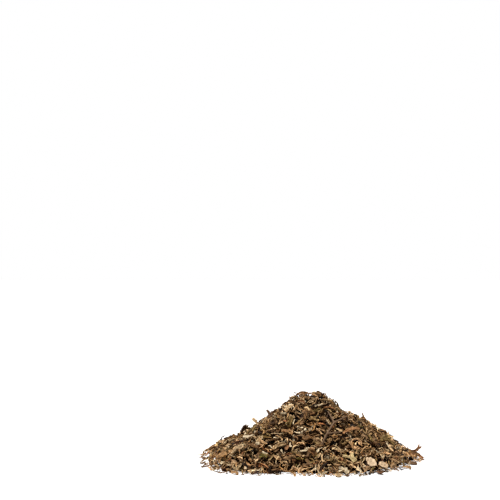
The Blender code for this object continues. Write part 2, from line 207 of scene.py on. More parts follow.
def grow_fork(chance, name, columns, rows, length, width, teeth):
    """A stalk that forks into two lobes, each with a point or with two teeth."""
    step = length / rows
    strap = start_strap(name, columns, width, step)
    sway = chance.uniform(-STALK_SWAY, STALK_SWAY)
    heading = grow(strap, step * STALK_STEP, 0.0, sway, STALK_SWELL)
    fork = chance.uniform(*FORK_TURN)
    for side, places in zip(SIDES, split_row(strap, heading)):
        choose_places(strap, places)
        reach = step * chance.uniform(*LOBE_STEP)
        lobe = grow(strap, reach, heading, side * fork, 1.0)
        sway = chance.uniform(-LOBE_SWAY, LOBE_SWAY)
        lobe = grow(strap, reach, lobe, sway, chance.uniform(*LOBE_SWELL))
        if not teeth:
            sway = chance.uniform(-POINT_SWAY, POINT_SWAY)
            grow(strap, reach * POINT_STEP, lobe, sway, POINT_WIDTH)
            continue
        for tooth_side, tooth_places in zip(SIDES, split_row(strap, lobe)):
            choose_places(strap, tooth_places)
            tooth = reach * chance.uniform(*TOOTH_STEP)
            grow(strap, tooth, lobe, tooth_side * chance.uniform(*TOOTH_TURN), TOOTH_WIDTH)
    return strap


# %% Recipes for the kinds of piece
# For each kind: how many prototypes, its share of the poured pieces, how far its margins rise
# in mm, its strongest bend in radians, and how it grows. That is its columns and rows of faces,
# the ranges of its length and width in mm, and how its tip narrows or whether it has teeth.
RECIPES = {
    "strap": (10, 0.25, 0.6, 1.9, grow_strap, (2, 7), (6, 9), (1.0, 1.8), 0.3),
    "sliver": (8, 0.15, 0.0, 1.5, grow_strap, (1, 7), (5, 9), (0.5, 0.9), 0.3),
    "rolled": (7, 0.15, 1.1, 1.5, grow_strap, (4, 5), (5, 8), (1.9, 2.7), 0.5),
    "forked": (8, 0.18, 0.5, 1.8, grow_fork, (4, 5), (6.5, 9), (1.5, 2.2), False),
    "toothed": (7, 0.14, 0.5, 1.8, grow_fork, (4, 5), (6.5, 9), (1.6, 2.3), True),
    "flake": (8, 0.09, 0.7, 1.8, grow_strap, (3, 5), (3.5, 5.5), (1.9, 3.0), 0.4),
    "crumb": (5, 0.06, 0.2, 1.0, grow_strap, (2, 3), (1.6, 2.8), (0.9, 1.6), 0.5),
}
print("kinds", list(RECIPES), "make", sum(count for count, *_ in RECIPES.values()), "prototypes")

# %% [markdown]
# ## Channel, ripple and curl
#
# The living strap is a channel, because its margins stand up. Drying ripples it, bends it along
# its length and twists it. These are modifiers, one after the other, that are then applied.
# The thickness comes last, so that it is even everywhere.

# %% Dry a sheet
THALLUS = 0.2  # mm thick
RIPPLE_SIZE, RIPPLE_DEPTH = (0.9, 1.8), (0.8, 1.9)  # mm
MOST_TWIST = 1.8  # radians
LEAST_CURL = 0.25  # share of the strongest bend and twist that even a flat piece has
MARGIN_RISE = (0.6, 1.3)  # share of its kind's rise that a piece's margins rise
DRAW_IN, ROLLED_DRAW_IN = 0.08, 0.35  # share of the way inwards that the margins are drawn
RAGGED = 0.22  # mm that the outline and the surface stray


def raise_margins(strap, rise, draw_in):
    """Lifts and draws in the margins, which makes the channel of a living strap."""
    form = bmesh.from_edit_mesh(strap.data)
    margin = [point for point in form.verts if point.is_boundary]
    for point in margin:
        others = [edge.other_vert(point) for edge in point.link_edges]
        inside = [other.co for other in others if not other.is_boundary]
        if inside:
            middle = sum(inside, Vector()) / len(inside)
            point.co = point.co.lerp(middle, draw_in)
        point.co.y -= rise
    bmesh.update_edit_mesh(strap.data)


def margin_of(mesh):
    """1 for each point on the margin of a sheet and 0 for the others."""
    form = bmesh.new()
    form.from_mesh(mesh)
    margin = np.array([point.is_boundary for point in form.verts], float)
    form.free()
    return margin


def curl_and_thicken(strap, chance, most_bend):
    """Ripples, bends and twists a sheet and gives it its thickness, then applies it all."""
    ripple = bpy.data.textures.new(strap.name, "CLOUDS")
    ripple.noise_scale = chance.uniform(*RIPPLE_SIZE)
    wave = strap.modifiers.new("ripple", "DISPLACE")
    wave.texture = ripple
    wave.strength = chance.uniform(*RIPPLE_DEPTH)
    wave.direction = "NORMAL"
    for method, axis, most in (("BEND", "X", most_bend), ("TWIST", "Z", MOST_TWIST)):
        curl = strap.modifiers.new(method, "SIMPLE_DEFORM")
        curl.deform_method = method
        curl.deform_axis = axis
        curl.angle = chance.uniform(LEAST_CURL, 1) * most * chance.choice((-1, 1))
    wall = strap.modifiers.new("thallus", "SOLIDIFY")
    wall.thickness = THALLUS
    wall.offset = 0
    for title in [modifier.name for modifier in strap.modifiers]:
        bpy.ops.object.modifier_apply(modifier=title)


def make_prototype(kind, number):
    """One dried piece of a kind: points in mm, faces, and the side and margin of each point."""
    count, share, rise, most_bend, grower, grid, lengths, widths, end = RECIPES[kind]
    chance = np.random.default_rng([number, len(kind), ord(kind[0])])
    length, width = chance.uniform(*lengths), chance.uniform(*widths)
    strap = grower(chance, f"{kind}_{number}", *grid, length, width, end)
    draw_in = ROLLED_DRAW_IN if kind == "rolled" else DRAW_IN
    raise_margins(strap, rise * chance.uniform(*MARGIN_RISE), draw_in)
    bpy.ops.mesh.select_all(action="SELECT")
    bpy.ops.transform.vertex_random(offset=RAGGED, uniform=1.0, seed=number)
    bpy.ops.object.mode_set(mode="OBJECT")
    margin = margin_of(strap.data)
    curl_and_thicken(strap, chance, most_bend)
    points = np.array([point.co for point in strap.data.vertices])
    points -= (points.min(0) + points.max(0)) / 2
    faces = np.array([face.vertices for face in strap.data.polygons])
    bpy.data.objects.remove(strap)
    return {
        "kind": kind, "share": share / count, "points": points, "faces": faces,
        "side": np.arange(len(points)) >= len(margin), "margin": np.tile(margin, 2),
    }


prototypes = [
    make_prototype(kind, number) for kind, (count, *_) in RECIPES.items() for number in range(count)
]
print(len(prototypes), "prototypes with", [len(made["faces"]) for made in prototypes[::5]], "faces")
print("mm", [np.round(np.ptp(made["points"], axis=0), 1).tolist() for made in prototypes[::8]])

# %% [markdown]
# ## The pieces that can be told apart
#
# The CAD has a solid of its own for each piece that can be told apart. It is in the right place
# but too smooth for dried lichen. A copy of it is merged, made thinner, subdivided, and crinkled
# by a cloud texture that moves both of its sides together.

# %% Refine the single pieces
SAME_POINT = 0.01 * MM  # points closer than this are merged
RIM_EDGE = 0.6 * MM  # the rim's edges are shorter than this, because they cross the thickness
THINNER = 0.07 * MM  # taken off each side
CUTS, ROUNDING = 2, 0.5  # of the subdivision
CRINKLE_SIZE, CRINKLE_DEPTH = 2.0 * MM, 1.6 * MM
FRAY_SIZE, FRAY_DEPTH = 0.7 * MM, 0.7 * MM
# These dried nearly flat, and their middle is painted almost as pale as their margin, with its wear
# and painted highlight
CALM_NODES = (
    "pale_broad_flake", "second_pale_flake", "whitish_flake", "orange_strand", "green_frond",
)
CALM_DEPTH, CALM_INSIDE = 0.8 * MM, 0.75
# These are round stems, which hardly crinkle
ROUND_NODES = ("dark_forked_stem", "curled_stem_loop")
ROUND_DEPTH = 0.4 * MM
NEAR_GROUND = 0.5 * MM  # a piece whose solid is lower than this rests on the ground


def copy_solid(title, name):
    """A copy of a CAD solid, merged to four-cornered faces, all selected in edit mode."""
    piece = new_piece(title, nodes[name].data.copy())
    only(piece)
    bpy.ops.object.mode_set(mode="EDIT")
    bpy.ops.mesh.select_all(action="SELECT")
    bpy.ops.mesh.remove_doubles(threshold=SAME_POINT)
    bpy.ops.mesh.tris_convert_to_quads()
    return piece


def mark_rim(piece, inside):
    """Stores 1 on the rim and a lower value inside, as an attribute that the subdivision blends."""
    form = bmesh.from_edit_mesh(piece.data)
    margin = form.verts.layers.float.new("margin")
    for point in form.verts:
        on_rim = any(edge.calc_length() < RIM_EDGE for edge in point.link_edges)
        point[margin] = 1 if on_rim else inside
    bmesh.update_edit_mesh(piece.data)


def crinkle(piece, size, depth):
    """Moves the points by a coloured cloud texture, which shifts both sides the same way."""
    cloud = bpy.data.textures.new(piece.name, "CLOUDS")
    cloud.cloud_type = "COLOR"
    cloud.noise_scale = size
    shift = piece.modifiers.new("crinkle", "DISPLACE")
    shift.texture = cloud
    shift.texture_coords = "LOCAL"
    shift.direction = "RGB_TO_XYZ"
    shift.strength = depth
    bpy.ops.object.modifier_apply(modifier="crinkle")


def refine(name):
    """A dried copy of a single piece's solid, in the same place."""
    piece = copy_solid(f"dried_{name}", name)
    mark_rim(piece, CALM_INSIDE if name in CALM_NODES else 0)
    bpy.ops.transform.shrink_fatten(value=THINNER)
    bpy.ops.mesh.subdivide(number_cuts=CUTS, smoothness=0 if name in ROUND_NODES else ROUNDING)
    bpy.ops.object.mode_set(mode="OBJECT")
    if name in ROUND_NODES:
        crinkle(piece, CRINKLE_SIZE, ROUND_DEPTH)
    else:
        crinkle(piece, CRINKLE_SIZE, CALM_DEPTH if name in CALM_NODES else CRINKLE_DEPTH)
        crinkle(piece, FRAY_SIZE, FRAY_DEPTH)
    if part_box(name)[0][2] < NEAR_GROUND:
        lowest = min(point.co.z for point in piece.data.vertices)
        piece.data.transform(Matrix.Translation((0, 0, -lowest)))
    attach(piece, "root")
    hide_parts(name)
    return piece


singles = {name: refine(name) for name in single_nodes}
corners = [len(face.vertices) for piece in singles.values() for face in piece.data.polygons]
print("triangles", sum(corners) - 2 * len(corners))

# %% [markdown]
# ## The felted core
#
# Deep inside, the pieces are felted so tightly that no light passes. A copy of the packed
# solid, a few millimetres smaller all round and rough as packed crumbs, stands for them. It
# keeps the gaps between the outer pieces dark, and saves thousands of pieces nobody would see.

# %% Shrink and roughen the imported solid
CORE_SHARE = (0.9, 0.9, 0.94)
CORE_LUMP, CORE_ROUGHNESS = 2 * MM, 2.4 * MM
core = copy_solid("felted_core", "packed_moss")
bpy.ops.transform.resize(value=CORE_SHARE, center_override=(0, 0, 0))
bpy.ops.mesh.subdivide(number_cuts=1)
bpy.ops.object.mode_set(mode="OBJECT")
crinkle(core, CORE_LUMP, CORE_ROUGHNESS)
for point in core.data.vertices:
    point.co.z = max(point.co.z, 0)
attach(core, "root")
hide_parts("packed_moss")
print("core", len(core.data.polygons), "faces", [round(side / MM, 1) for side in core.dimensions])

# %% [markdown]
# ## The shape to fill
#
# A real heap is poured from above, so its inside is as loose as its surface. The height map
# here is a grid of small cells that holds how high the heap stands at each place. The packed
# CAD solid gives the height to reach, lumps and hollows make it uneven, and the single pieces
# above it give a ceiling that nothing poured may touch.

# %% Points spread over a surface
CELL = 0.3  # mm, side of a cell of the height map
SAMPLE_SPACING = 0.25  # mm


def spread_samples(points, faces):
    """Points spread over the whole surface, closer together than the height map's cells."""
    triangles = [(face[0], face[i], face[i + 1]) for face in faces for i in range(1, len(face) - 1)]
    corners = points[np.array(triangles)]
    longest_side = np.linalg.norm(corners - np.roll(corners, -1, axis=1), axis=2).max()
    steps = int(np.ceil(longest_side / SAMPLE_SPACING)) + 1
    u, v = (share.reshape(-1, 1) for share in np.meshgrid(*[np.linspace(0, 1, steps)] * 2))
    inside = (u + v <= 1).ravel()
    u, v = u[inside], v[inside]
    a, b, c = (corners[:, i, None] for i in range(3))
    spread = (a + u * (b - a) + v * (c - a)).reshape(-1, 3)
    return np.unique(np.round(spread / SAMPLE_SPACING), axis=0) * SAMPLE_SPACING


def samples_of(mesh):
    """Points spread over a finished mesh, in mm."""
    points = np.array([point.co for point in mesh.vertices]) / MM
    return spread_samples(points, [tuple(face.vertices) for face in mesh.polygons])


for made in prototypes:
    made["samples"] = spread_samples(made["points"], made["faces"])
single_samples = {name: samples_of(piece.data) for name, piece in singles.items()}
print("samples", [len(made["samples"]) for made in prototypes[::6]])

# %% The height to reach
BARE_GROUND = 8  # mm kept round the heap
# In front of a piece that shows in the photograph, for this many mm, the heap stays below the
# line of sight to it, which rises this much for each mm towards the camera
SIGHT_REACH, SIGHT_RISE = 3.5, 0.16
# The numbered pieces follow none in the photograph, and the curls at the summit need a full bed
IN_SIGHT = [name for name in single_nodes if not name[-1].isdigit() and "summit" not in name]
COARSE = 4  # one ray for a block of this many cells each way
RAY_START = 1  # m, well above the heap
LUMPS = ((13, 1.6), (6, 1.8))  # wavelength and height in mm
LUMP_FADE = 5  # mm, because the lumps fade where the heap is lower than this
LEAST_HEIGHT = 0.5  # mm that a hollow leaves of the heap
# Dark hollows between the pieces: place, radius and depth in mm
HOLLOWS = (
    (-2.4, -8.3, 3.0, 3.0), (-16.1, -46.6, 2.6, 2.6), (-10.9, -56.1, 2.8, 2.0),
    (11.7, -49.3, 3.2, 2.8), (21.1, -53.3, 4.2, 2.6), (9.0, -58.1, 2.6, 2.0),
    (-27.3, -40.1, 2.8, 2.6), (7.4, -21.8, 2.8, 2.8), (-35.0, 22.0, 3.0, 2.0),
    (14.0, 30.0, 3.2, 2.0), (38.0, 14.0, 2.8, 2.0), (-8.0, 45.0, 3.0, 2.0),
)
# Small mounds, in the same way, under the two curls at the summit
MOUNDS = ((-6.5, 1.0, 4.5, 4.0), (4.5, 1.0, 4.0, 3.6))
low = np.floor(np.array(cad_box[0]) / MM)[:2] - BARE_GROUND
high = np.ceil(np.array(cad_box[1]) / MM)[:2] + BARE_GROUND
cells_x, cells_y = (int(np.ceil(side / CELL)) for side in high - low)


def unevenness(x, y):
    """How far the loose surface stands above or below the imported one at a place, in mm."""
    lumps = sum(rise * noise.noise(Vector((x / wave, y / wave, wave))) for wave, rise in LUMPS)
    holes, mounds = (
        sum(rise * math.exp(-((x - u) ** 2 + (y - v) ** 2) / r**2) for u, v, r, rise in places)
        for places in (HOLLOWS, MOUNDS)
    )
    return lumps + mounds - holes


def coarse_heights(mesh):
    """Height of a solid in mm at every corner of the coarse grid, and 0 beside it."""
    corners = [point.co for point in mesh.vertices]
    tree = BVHTree.FromPolygons(corners, [tuple(face.vertices) for face in mesh.polygons])
    coarse = np.zeros((cells_x // COARSE + 2, cells_y // COARSE + 2))
    for i, j in np.ndindex(coarse.shape):
        x, y = low + np.array((i, j)) * COARSE * CELL
        hit = tree.ray_cast(Vector((x * MM, y * MM, RAY_START)), Vector((0, 0, -1)))[0]
        coarse[i, j] = hit.z / MM if hit else 0
    return coarse


def uneven(coarse):
    """The same heights with lumps and hollows."""
    for i, j in zip(*np.nonzero(coarse)):
        x, y = low + np.array((i, j)) * COARSE * CELL
        height = coarse[i, j]
        coarse[i, j] = max(height + unevenness(x, y) * min(1, height / LUMP_FADE), LEAST_HEIGHT)
    return coarse


def every_cell(coarse):
    """The heights over every cell, blended between the corners of the coarse grid."""
    along_x, along_y = np.arange(cells_x) / COARSE, np.arange(cells_y) / COARSE
    i, j = along_x.astype(int)[:, None], along_y.astype(int)[None, :]
    s, t = (along_x % 1)[:, None], (along_y % 1)[None, :]
    near = coarse[i, j] * (1 - t) + coarse[i, j + 1] * t
    far = coarse[i + 1, j] * (1 - t) + coarse[i + 1, j + 1] * t
    return np.ravel(near * (1 - s) + far * s)


def cells_of(points):
    """The number of the height map's cell that each point lies over."""
    place = ((points[:, :2] - low) / CELL).astype(int)
    return place[:, 0] * cells_y + place[:, 1]


target = every_cell(uneven(coarse_heights(nodes["packed_moss"].data)))
heights = every_cell(coarse_heights(core.data))
slope_x, slope_y = (np.ravel(step) for step in np.gradient(target.reshape(cells_x, cells_y), CELL))
ceiling = np.full(cells_x * cells_y, np.inf)
for points in single_samples.values():
    np.minimum.at(ceiling, cells_of(points), points[:, 2])
for name in IN_SIGHT:
    for ahead in np.arange(0, SIGHT_REACH, CELL):
        points = single_samples[name] + (0, -ahead, ahead * SIGHT_RISE)
        np.minimum.at(ceiling, cells_of(points), points[:, 2])
print("height map", cells_x, "x", cells_y, "highest", round(float(target.max()), 1), "mm")

# %% [markdown]
# ## Pouring
#
# Each piece falls at a place where the heap is still too low. It is tried in a few positions,
# comes to rest on the highest point below it, and the position with the least air beneath it
# is kept, the way a shaken piece finds its bed. Small pieces then fill the room under a frond and
# two curls, a few slender ones are stood up, and crumbs fall on everything and round the foot.

# %% Let pieces fall and settle
poured = []
CLEARANCE = 0.05  # mm of air between a piece and what it lies on
UPRIGHT_TO_FLAT = Matrix.Rotation(-math.pi / 2, 3, "X")
STRAY = 1  # mm that a piece falls beside the cell it was aimed at, at most
ROUND = 150  # pieces dropped before the low places are looked up again
PATIENCE = 2  # a layer is given up after this many misses for each piece that it may hold


def random_turn(chance, cell, tilt):
    """A rotation that lays a piece roughly along the slope at a cell, either side up."""
    normal = Vector((-slope_x[cell], -slope_y[cell], 1)).normalized()
    along = Vector((0, 0, 1)).rotation_difference(normal).to_matrix()
    heading = Matrix.Rotation(chance.uniform(0, 2 * math.pi), 3, "Z")
    nod, roll = (Matrix.Rotation(chance.normal(0, tilt), 3, axis) for axis in "XY")
    flip = Matrix.Rotation(math.pi * chance.integers(2), 3, "Y")
    return np.array(along @ heading @ (nod @ roll) @ flip @ UPRIGHT_TO_FLAT)


def drop(chance, made, scale, cell, tries, tilt, most_above, goal):
    """Drops one piece near a cell. Returns whether it found a place within the goal."""
    best = None
    middle = low + (np.array(divmod(cell, cells_y)) + 0.5) * CELL
    samples = made["samples"] * scale
    for _ in range(tries):
        turn = random_turn(chance, cell, tilt)
        place = np.append(middle + chance.uniform(-STRAY, STRAY, 2), 0)
        turned = samples @ turn.T
        cells = cells_of(turned + place)
        lift = (heights[cells] - turned[:, 2]).max() + CLEARANCE
        tops = turned[:, 2] + lift
        above = (tops - goal[cells]).max()
        if above > most_above or (tops > ceiling[cells] - CLEARANCE).any():
            continue
        air = (tops - heights[cells]).mean()
        if best is None or air < best[0]:
            best = (air, turn, place + (0, 0, lift), cells, tops)
    if best is None:
        return False
    _, turn, place, cells, tops = best
    np.maximum.at(heights, cells, tops)
    poured.append((made, scale, turn, place))
    return True


def pour(seed, kinds, goal, most, tries, tilt, most_above, sizes, enough, evenly=False):
    """Drops pieces of these kinds where the heap is lower than the goal by enough, until full."""
    chance = np.random.default_rng(seed)
    choices = [made for made in prototypes if made["kind"] in kinds]
    shares = np.array([made["share"] for made in choices])
    placed = missed = 0
    while placed < most and missed < most * PATIENCE:
        lack = np.clip(goal - heights, 0, None)
        lack[lack < enough] = 0
        if lack.sum() == 0:
            break
        if evenly:
            lack = np.sign(lack)
        spots = chance.choice(len(lack), ROUND, p=lack / lack.sum())
        numbers = chance.choice(len(choices), ROUND, p=shares / shares.sum())
        for cell, number in zip(spots, numbers):
            size = chance.uniform(*sizes)
            found = drop(chance, choices[number], size, cell, tries, tilt, most_above, goal)
            placed += found
            missed += not found
    print("placed", placed, "missed", missed, "highest", round(float(heights.max()), 1), "mm")


# %% Places beside the foot and under single pieces
REACH = 3  # mm beyond the foot that crumbs lie
RING_HEIGHT = 2.0  # mm
DIRECTIONS = np.linspace(0, 2 * math.pi, 24, endpoint=False)
# Small pieces gather here, with place, radius and height in mm: under the frond at the right
# foot, and under and between the two curls at the summit
TUFTS = (
    (64.0, -18.5, 5.5, 5.0), (-6.0, 1.0, 6.0, 39.0), (5.0, 1.0, 6.0, 38.6), (-0.5, 1.0, 3.0, 38.4),
)


def ring_round(mask, reach):
    """The cells beside a mask that lie within reach of it, in mm."""
    grid = mask.reshape(cells_x, cells_y)
    near = np.zeros_like(grid)
    for angle in DIRECTIONS:
        shift = [round(reach / CELL * turn) for turn in (math.cos(angle), math.sin(angle))]
        near |= np.roll(grid, shift, (0, 1))
    return (near & ~grid).ravel()


def disc_round(x, y, radius):
    """The cells within a radius of a place, in mm."""
    across_x = (low[0] + np.arange(cells_x) * CELL)[:, None]
    across_y = (low[1] + np.arange(cells_y) * CELL)[None, :]
    return np.ravel(np.hypot(across_x - x, across_y - y) < radius)


covered = target > 0
ring = ring_round(covered, REACH / 2) | ring_round(covered, REACH)
discs = [(disc_round(x, y, radius), height) for x, y, radius, height in TUFTS]
print("cells in the ring", int(ring.sum()), "and tufts", [int(disc.sum()) for disc, _ in discs])

# %% Pour the heap
LOOSE_LAYER = 1.8  # mm of the heap's height that is left to the pieces that stick out
packed = target - LOOSE_LAYER * np.clip(target / LUMP_FADE, 0, 1)
pour(
    seed=2, kinds=RECIPES, goal=packed, most=12000, tries=5, tilt=0.75, most_above=3.4,
    sizes=(0.75, 1.25), enough=0.3,
)
for number, (disc, height) in enumerate(discs):
    pour(
        seed=6 + number, kinds=("crumb", "toothed", "sliver"), goal=disc * height, most=50,
        tries=12, tilt=0.9, most_above=1.5, sizes=(0.45, 0.75), enough=0.5, evenly=True,
    )
for points in single_samples.values():
    np.maximum.at(heights, cells_of(points), points[:, 2])
pour(
    seed=3, kinds=("strap", "forked"), goal=target + covered, most=160, tries=6, tilt=1.3,
    most_above=2.2, sizes=(0.7, 1.1), enough=1.5, evenly=True,
)
pour(
    seed=4, kinds=("crumb", "sliver"), goal=target, most=900, tries=4, tilt=0.7,
    most_above=1.5, sizes=(0.6, 1.0), enough=0.2, evenly=True,
)
pour(
    seed=5, kinds=("crumb", "flake", "strap"), goal=ring * RING_HEIGHT, most=150, tries=3,
    tilt=0.2, most_above=1.5, sizes=(0.5, 0.95), enough=1.5, evenly=True,
)
print(len(poured), "pieces,", sum(len(made["faces"]) * 2 for made, *_ in poured), "triangles")

# %% [markdown]
# ## Joining the pieces
#
# Thousands of objects would be slow, so the pieces are joined into twelve sectors of the heap.
# Each point keeps, as attributes of its mesh, the colour of its piece and side, whether it is
# on the underside, and whether it is on a margin. One finish can then serve them all. The upper
# side of a strap is browner and its underside paler. What has sunk into the heap is painted
# darker, as painted shade where little light reaches between the pieces.

# %% Tints of the cut pieces
# Share of the pieces, colour of the upper side and colour of the underside
TINTS = (
    (0.22, "#76552F", "#B08A60"),
    (0.16, "#4A321C", "#7A5A38"),
    (0.10, "#6A522B", "#9A7D50"),
    (0.21, "#9E784A", "#CCA87A"),
    (0.15, "#C2A274", "#EAD2AA"),
    (0.03, "#85532F", "#A07048"),
    (0.12, "#1C1109", "#2E1D11"),
    (0.01, "#5A4C1E", "#80703C"),
)
# How much lighter or darker than the others a kind dries
KIND_SHADE = {"sliver": 1.3, "forked": 1.1, "crumb": 0.75}
PIECE_SHADE = (0.68, 1.3)  # the range within any kind
PALEST = 0.7  # no piece reflects more light than this
SUNK, SUNK_PAINTED_SHADE = (0.5, 3.5), (1.1, 0.35)  # mm below the heap's surface, and the lightness there, painted shade for the deeper pieces


def shade_of(chance, made, place):
    """How light one poured piece is: by its kind, by chance, and darker the deeper it lies, as
    painted shade.
    """
    depth = target[cells_of(place[None])[0]] - place[2]
    shade = chance.uniform(*PIECE_SHADE) * KIND_SHADE.get(made["kind"], 1)
    return shade * np.interp(depth, SUNK, SUNK_PAINTED_SHADE)


def store(mesh, name, kind, values):
    """Keeps one value or colour for each point of a mesh."""
    field = "color" if kind == "FLOAT_COLOR" else "value"
    mesh.attributes.new(name, kind, "POINT").data.foreach_set(field, np.ravel(values))


# %% Join by sectors of the heap
SECTORS = 12
palette = np.array([[linear(upper), linear(under)] for _, upper, under in TINTS])
tint_shares = np.array([share for share, *_ in TINTS])


def sector(entry):
    """The number of the sector in which a poured piece lies, counted round the summit."""
    *_, place = entry
    return int((math.atan2(place[1], place[0]) / (2 * math.pi) % 1) * SECTORS)


def join_pieces(name, chosen):
    """One mesh of many poured pieces, with the attributes that the finish reads."""
    chance = np.random.default_rng(len(chosen))
    points, faces, tints, count = [], [], [], 0
    for made, scale, turn, place in chosen:
        points.append((made["points"] * scale @ turn.T + place) * MM)
        faces.append(made["faces"] + count)
        count += len(made["points"])
        pair = palette[chance.choice(len(TINTS), p=tint_shares / tint_shares.sum())]
        shade = min(shade_of(chance, made, place), PALEST / pair[:, :3].max())
        tints.append(pair[made["side"].astype(int)] * shade)
    mesh = bpy.data.meshes.new(name)
    mesh.from_pydata(np.concatenate(points), [], np.concatenate(faces).tolist())
    store(mesh, "tint", "FLOAT_COLOR", np.concatenate(tints))
    sides = np.concatenate([made["side"] for made, *_ in chosen])
    store(mesh, "underside", "FLOAT", sides.astype(float))
    store(mesh, "margin", "FLOAT", np.concatenate([made["margin"] for made, *_ in chosen]))
    joined = new_piece(name, mesh)
    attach(joined, "root")
    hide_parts("packed_moss")
    return joined


zones = []
for number in range(SECTORS):
    chosen = [entry for entry in poured if sector(entry) == number]
    zones.append(join_pieces(f"poured_pieces_{number + 1:02d}", chosen))
print("triangles", [len(zone.data.polygons) * 2 for zone in zones])

# %% [markdown]
# ## Soft faces and sharp cuts
#
# A dried strap is soft to the eye across its curls, and crisp where it was torn or cut. So all
# faces are shaded smooth, and the edges where the surface turns sharply are marked sharp.

# %% Shade the pieces
CUT_EDGE = math.radians(35)
for piece in [*zones, core, *singles.values()]:
    piece.data.shade_smooth()
    piece.data.set_sharp_from_angle(angle=CUT_EDGE)
print("shaded", len(zones) + 1 + len(singles), "pieces")

# %% [markdown]
# ## Finish: dried lichen skin
#
# The skin of Iceland moss is leathery and dries matt. It shows four things to the eye: patches
# of browner and paler skin, rust-brown blotches near the old base, margins that are much paler,
# and white pores on the underside. The paler margins are partly worn, cut edges and partly a
# painted highlight, where light catches the raised rims. Painting each piece would take weeks,
# so the finish reads the attributes of each point, and noise that is sized in millimetres does
# the rest.


# %% A helper that adds one node
def node(tree, kind, links=(), **settings):
    """Adds a node, sets its properties or inputs by name, and links outputs to its inputs."""
    made = tree.nodes.new(kind)
    for name, value in settings.items():
        title = name.replace("_", " ")
        if title in made.inputs:
            made.inputs[title].default_value = value
        else:
            setattr(made, name, value)
    for socket, source in links:
        tree.links.new(source, made.inputs[socket])
    return made


def new_finish(name):
    """A material with nodes: its tree, its shader and the point on the object that is painted."""
    material = bpy.data.materials.new(name)
    material.use_nodes = True
    tree = material.node_tree
    place = node(tree, "ShaderNodeTexCoord").outputs["Object"]
    return material, tree, tree.nodes["Principled BSDF"], place


# %% Dried lichen skin
MOTTLE = 1.4 * MM  # size of a browner or paler patch
BLOTCH = 4 * MM  # size of a rust-brown blotch
# Real wrinkles and pores are near 0.1 mm. They are drawn coarser, because that would not show.
WRINKLE = 0.5 * MM
PORE_SPACING, PORE_RADIUS = 1.2 * MM, 0.25 * MM
RUST = linear("#6B3A1C")


def dried_lichen_skin():
    """Air-dried thallus, tinted piece by piece: matt, mottled, wrinkled, paler at the margins
    (worn, and a painted highlight).
    """
    material, tree, shader, place = new_finish("dried_lichen_skin")
    tint = node(tree, "ShaderNodeAttribute", attribute_name="tint")
    margin = node(tree, "ShaderNodeAttribute", attribute_name="margin")
    underside = node(tree, "ShaderNodeAttribute", attribute_name="underside")
    mottle = node(tree, "ShaderNodeTexNoise", [("Vector", place)], Scale=1 / MOTTLE, Detail=3)
    patchy = node(
        tree, "ShaderNodeMapRange", [("Value", mottle.outputs["Fac"])],
        From_Min=0.3, From_Max=0.7, To_Min=0.55, To_Max=1.3,
    )
    # Paler margins: partly worn cut edges, partly a painted highlight on the raised rims
    worn_and_highlit_margin = node(
        tree, "ShaderNodeMapRange", [("Value", margin.outputs["Fac"])],
        From_Min=0.4, From_Max=1.0, To_Min=0.75, To_Max=1.45,
    )
    # Pores: pale dots at the middles of scattered cells, on the underside only
    dots = node(tree, "ShaderNodeTexVoronoi", [("Vector", place)], Scale=1 / PORE_SPACING)
    pore = node(
        tree, "ShaderNodeMapRange", [("Value", dots.outputs["Distance"])],
        From_Min=0, From_Max=PORE_RADIUS / PORE_SPACING, To_Min=0.6, To_Max=0,
    )
    pale_dots = node(
        tree, "ShaderNodeMath", [(0, pore.outputs["Result"]), (1, underside.outputs["Fac"])],
        operation="MULTIPLY",
    )
    lightness = node(
        tree, "ShaderNodeMath",
        [(0, patchy.outputs["Result"]), (1, worn_and_highlit_margin.outputs["Result"]), (2, pale_dots.outputs[0])],
        operation="MULTIPLY_ADD",
    )
    blotch = node(tree, "ShaderNodeTexNoise", [("Vector", place)], Scale=1 / BLOTCH, Detail=2)
    rusty = node(
        tree, "ShaderNodeMapRange", [("Value", blotch.outputs["Fac"])],
        From_Min=0.55, From_Max=0.75, To_Min=0, To_Max=0.5,
    )
    colour = node(
        tree, "ShaderNodeMixRGB",
        [("Fac", rusty.outputs["Result"]), ("Color1", tint.outputs["Color"])],
        Color2=RUST,
    )
    shaded = node(
        tree, "ShaderNodeVectorMath", [(0, colour.outputs[0]), ("Scale", lightness.outputs[0])],
        operation="SCALE",
    )
    matt = node(
        tree, "ShaderNodeMapRange", [("Value", mottle.outputs["Fac"])],
        From_Min=0.3, From_Max=0.7, To_Min=0.8, To_Max=0.6,
    )
    wrinkle = node(tree, "ShaderNodeTexNoise", [("Vector", place)], Scale=1 / WRINKLE, Detail=2)
    relief = node(
        tree, "ShaderNodeBump", [("Height", wrinkle.outputs["Fac"])],
        Strength=0.5, Distance=WRINKLE / 3,
    )
    tree.links.new(shaded.outputs[0], shader.inputs["Base Color"])
    tree.links.new(matt.outputs["Result"], shader.inputs["Roughness"])
    tree.links.new(relief.outputs["Normal"], shader.inputs["Normal"])
    shader.inputs["Specular IOR Level"].default_value = 0.15
    return material


# %% [markdown]
# ## Finish: dull bark
#
# A thin woody stem got into the harvest. Its bark is dull and split into fine fibres that run
# along it. Noise that is stretched along the stem gives them. The stem's own direction is found
# from its points, because the stem lies askew.

# %% Dull bark
FIBRE_WIDTH = 0.35 * MM  # drawn three times as coarse as real, so that it shows
FIBRE_STRETCH = 9
BARK_DARK, BARK_PALE = linear("#33241A"), linear("#86684C")


def direction_of(piece):
    """The direction in which a piece is longest."""
    points = np.array([point.co for point in piece.data.vertices])
    return Vector(np.linalg.svd(points - points.mean(0), full_matrices=False)[2][0])


